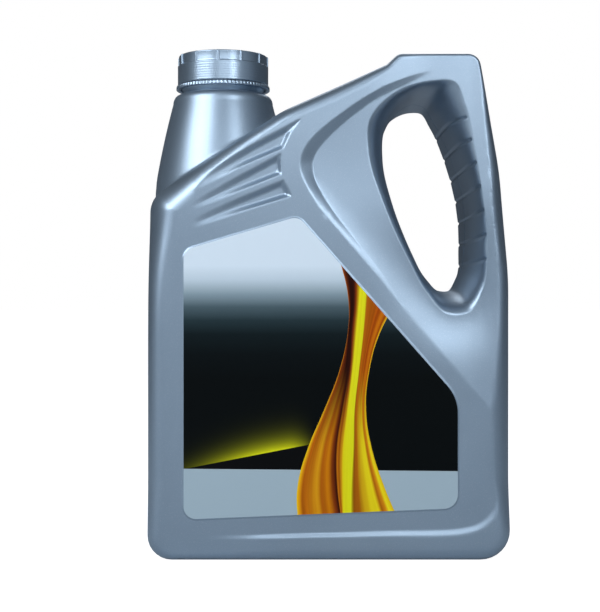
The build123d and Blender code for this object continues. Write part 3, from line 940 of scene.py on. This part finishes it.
def labelFilm(name, front):
    # in-mould printed film: smooth, slightly glossy, colour fields under a clear surface
    material, tree = newMaterial(name)
    look = labelPrint

    def sums(operation, *values):
        # a math node; numbers are set on its sockets and outputs are linked to them
        settings = {"operation": operation}
        links = {}
        for index, value in enumerate(values):
            (settings if isinstance(value, float) else links)[index] = value
        return addNode(tree, "Math", settings, links).outputs[0]

    def blend(share, below, above):
        settings = {"data_type": "RGBA"}
        links = {0: share, 6: below}
        if isinstance(above, str):
            settings[7] = linear(above)
        else:
            links[7] = above
        return addNode(tree, "Mix", settings, links).outputs[2]

    def step(value, low, high):
        return addNode(tree, "MapRange", {"interpolation_type": "SMOOTHSTEP", "From Min": low,
                                          "From Max": high}, {"Value": value}).outputs[0]

    def decay(value):
        # falls from 1 towards 0 as the value grows, like exp(-value)
        return sums("POWER", 2.718, sums("MULTIPLY", value, -1.0))

    where = addNode(tree, "TexCoord").outputs["Object"]
    split = addNode(tree, "SeparateXYZ", links={0: where})
    x = sums("MULTIPLY", split.outputs["X"], 1 / mm)
    z = sums("MULTIPLY", split.outputs["Z"], 1 / mm)
    fade = addNode(tree, "MapRange", {"From Min": look["fadeBottom"], "From Max": look["fadeTop"]},
                   {"Value": z}).outputs[0]
    colour = colourRamp(tree, fade, look["field"])
    # glow over the slanted edge of the dark wedge: height above that edge, and distance sideways
    slope, (wedgeX, wedgeZ) = look["wedgeSlope"], look["wedgeAt"]
    wedge = sums("SUBTRACT", z, sums("MULTIPLY_ADD", x, slope, wedgeZ - slope * wedgeX))
    overWedge = step(wedge, -0.15, 0.15)
    away = sums("DIVIDE", sums("SUBTRACT", x, look["glowMiddle"]), look["glowSpread"])
    leftward = sums("SUBTRACT", 1.0, step(x, -22.0, -6.0))
    sideways = sums("MULTIPLY", decay(sums("MULTIPLY", away, away)), leftward)
    upward = decay(sums("DIVIDE", wedge, look["glowReach"]))
    glow = sums("MULTIPLY", sums("MULTIPLY", upward, sideways), overWedge)
    colour = blend(sums("MINIMUM", glow, 1.0), colour, look["glowColour"])
    belowWedge = sums("MULTIPLY", sums("SUBTRACT", 1.0, overWedge), sums("LESS_THAN", x, 0.0))
    colour = blend(belowWedge, colour, look["wedgeColour"])
    foot = sums("SUBTRACT", z, sums("MULTIPLY_ADD", x, look["footTilt"], look["footLine"]))
    belowFoot = step(foot, 0.1, -0.1)
    colour = blend(belowFoot, colour, look["footColour"])
    colour = blend(sums("MULTIPLY", belowFoot, step(foot, -0.6, -0.2)), colour, look["hairline"])
    if front:
        # strand is 0 at the stream's left edge, and a quarter more at each curve to the right
        height = sums("DIVIDE", sums("SUBTRACT", z, look["heights"][0]), look["span"])
        place = sums("DIVIDE", sums("ADD", x, look["span"] / 2), look["span"])
        edges = [curveOver(tree, height, look[key])
                 for key in ("leftEdge", "darkStrand", "yellowLeft", "yellowRight", "rightEdge")]
        parts = [addNode(tree, "MapRange", {}, {"Value": place, "From Min": low, "From Max": high}).outputs[0]
                 for low, high in zip(edges, edges[1:])]
        strand = parts[0]
        for part in parts[1:]:
            strand = sums("ADD", strand, part)
        strand = sums("DIVIDE", strand, 4.0)
        ripple = addNode(tree, "CombineXYZ", links={0: sums("MULTIPLY", strand, 26.0),
                                                    1: sums("MULTIPLY", z, 0.012)}).outputs[0]
        ripple = addNode(tree, "TexNoise", {"Scale": 1.0, "Detail": 2.0}, {"Vector": ripple}).outputs["Fac"]
        low, high = (colourRamp(tree, strand, look[key]) for key in ("streamLow", "streamHigh"))
        stream = blend(step(z, *look["streamBlend"]), low, high)
        stream = addNode(tree, "Mix", {"data_type": "RGBA", "blend_type": "OVERLAY", 0: look["rippleShare"]},
                         {6: stream, 7: colourRamp(tree, ripple, look["ripple"])}).outputs[2]
        within = sums("MULTIPLY", sums("GREATER_THAN", place, edges[0]), sums("LESS_THAN", place, edges[-1]))
        colour = blend(within, colour, stream)
    surface = addNode(tree, "BsdfPrincipled", {"Roughness": 0.4, "IOR": 1.5,
                                                         "Specular IOR Level": 0.05}, {"Base Color": colour})
    addNode(tree, "OutputMaterial", links={"Surface": surface.outputs[0]})
    return material


def foam():
    # white expanded polyethylene sealing wad: matt, with fine cells
    material, tree = newMaterial("expanded_polyethylene_foam")
    where = addNode(tree, "TexCoord").outputs["Object"]
    cells = addNode(tree, "TexVoronoi", {"Scale": 1 / (0.5 * mm)}, {"Vector": where}).outputs["Distance"]
    bump = addNode(tree, "Bump", {"Distance": 0.05 * mm}, {"Height": cells}).outputs[0]
    colour = colourRamp(tree, cells, [(0.0, "#f1f1ee"), (1.0, "#dcdcd8")])
    surface = addNode(tree, "BsdfPrincipled", {"Roughness": 0.85, "IOR": 1.5},
                      {"Base Color": colour, "Normal": bump})
    addNode(tree, "OutputMaterial", links={"Surface": surface.outputs[0]})
    return material


def finish(node, material):
    # gives a kept CAD node its material
    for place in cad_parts[node].material_slots:
        place.material = material


bottlePiece.data.materials.append(pearlPlastic("blow_moulded_pearl_polyethylene", plastic["roughness"]))
moulded = pearlPlastic("injection_moulded_pearl_polypropylene", plastic["roughness"] - 0.07)
capPiece.data.materials.append(moulded)
bandPiece.data.materials.append(moulded)
finish("front_label", labelFilm("printed_polypropylene_film_front", True))
finish("back_label", labelFilm("printed_polypropylene_film_back", False))
finish("cap_liner", foam())
print("materials made")

# the lens in lengths of the frame's height; distances in metres
stage = {
    "distance": 0.744,
    "eyeHeight": 0.1348,
    "eyeSide": -0.0153,
    "focal": 1308.0,
    "frameHeight": 612,
    "floorReach": 40.0,
    "ambient": 0.09,
    "frontGlow": 0.56,
    "room": "#dfe8f2",
    "paper": "#c4c8cc",
    "paperGlow": 0.95,
    # name, place, target, width and height in metres, watts
    "lights": [
        ("softbox_left", (-0.73, -0.66, 0.74), (-0.02, 0.0, 0.16), (0.80, 0.62), 6.8),
        ("softbox_right", (0.42, -0.88, 0.60), (0.0, 0.0, 0.14), (0.26, 0.50), 2.0),
        ("softbox_front", (0.0, -1.05, 0.52), (0.0, 0.0, 0.14), (0.50, 0.25), 0.9),
        ("softbox_back", (0.10, 0.95, 1.00), (0.0, 0.0, 0.14), (0.90, 0.50), 2.5),
    ],
}


def addLight(name, place, target, size, power):
    light = bpy.data.lights.new(name, "AREA")
    light.shape = "RECTANGLE"
    light.size, light.size_y = size
    light.energy = power
    lamp = bpy.data.objects.new(name, light)
    lamp.location = place
    lamp.rotation_euler = (Vector(target) - Vector(place)).to_track_quat("-Z", "Y").to_euler()
    bpy.context.scene.collection.objects.link(lamp)


def buildStage():
    scene = bpy.context.scene
    scene.view_settings.view_transform = "Standard"
    world = bpy.data.worlds.new("studio")
    world.use_nodes = True
    scene.world = world
    tree = world.node_tree
    tree.nodes.clear()
    path = addNode(tree, "LightPath").outputs["Is Camera Ray"]
    # dim room that is lighter in front, by the cosine to the front direction
    toward = addNode(tree, "SeparateXYZ", links={0: addNode(tree, "TexCoord").outputs["Generated"]})
    power = addNode(tree, "MapRange", {"interpolation_type": "SMOOTHSTEP", "From Min": 0.25, "From Max": -0.8,
                                       "To Min": stage["ambient"], "To Max": stage["frontGlow"]},
                    {"Value": toward.outputs["Y"]}).outputs[0]
    dim = addNode(tree, "Background", {"Color": linear(stage["room"])}, {"Strength": power})
    white = addNode(tree, "Background", {"Color": (1, 1, 1, 1), "Strength": 1.0})
    mix = addNode(tree, "MixShader", links={0: path, 1: dim.outputs[0], 2: white.outputs[0]})
    addNode(tree, "OutputWorld", links={"Surface": mix.outputs[0]})
    for light in stage["lights"]:
        addLight(*light)
    reach = stage["floorReach"] / mm
    corners = np.array([(x * reach, y * reach, -0.02) for x, y in ((-1, -1), (1, -1), (1, 1), (-1, 1))])
    floor = makeMesh("floor", [(corners, np.array([(0, 1, 2, 3)]))])
    # pale matt paper: mostly lit evenly for the lens, with a faint shadow under the bottle
    material, tree = newMaterial("matt_white_paper")
    path = addNode(tree, "LightPath").outputs["Is Camera Ray"]
    lit = addNode(tree, "BsdfDiffuse", {"Color": linear(stage["paper"])})
    even = addNode(tree, "Emission", {"Color": (1, 1, 1, 1), "Strength": stage["paperGlow"]})
    both = addNode(tree, "AddShader", links={0: lit.outputs[0], 1: even.outputs[0]})
    mix = addNode(tree, "MixShader", links={0: path, 1: lit.outputs[0], 2: both.outputs[0]})
    addNode(tree, "OutputMaterial", links={"Surface": mix.outputs[0]})
    floor.data.materials.append(material)
    camera = bpy.data.cameras.new("camera")
    camera.sensor_fit = "VERTICAL"
    camera.sensor_height = 36
    camera.lens = stage["focal"] / stage["frameHeight"] * camera.sensor_height
    camera.clip_end = 200
    eye = bpy.data.objects.new("camera", camera)
    eye.location = (stage["eyeSide"], -stage["distance"], stage["eyeHeight"])
    eye.rotation_euler = (math.pi / 2, 0, 0)
    scene.collection.objects.link(eye)
    scene.camera = eye


buildStage()
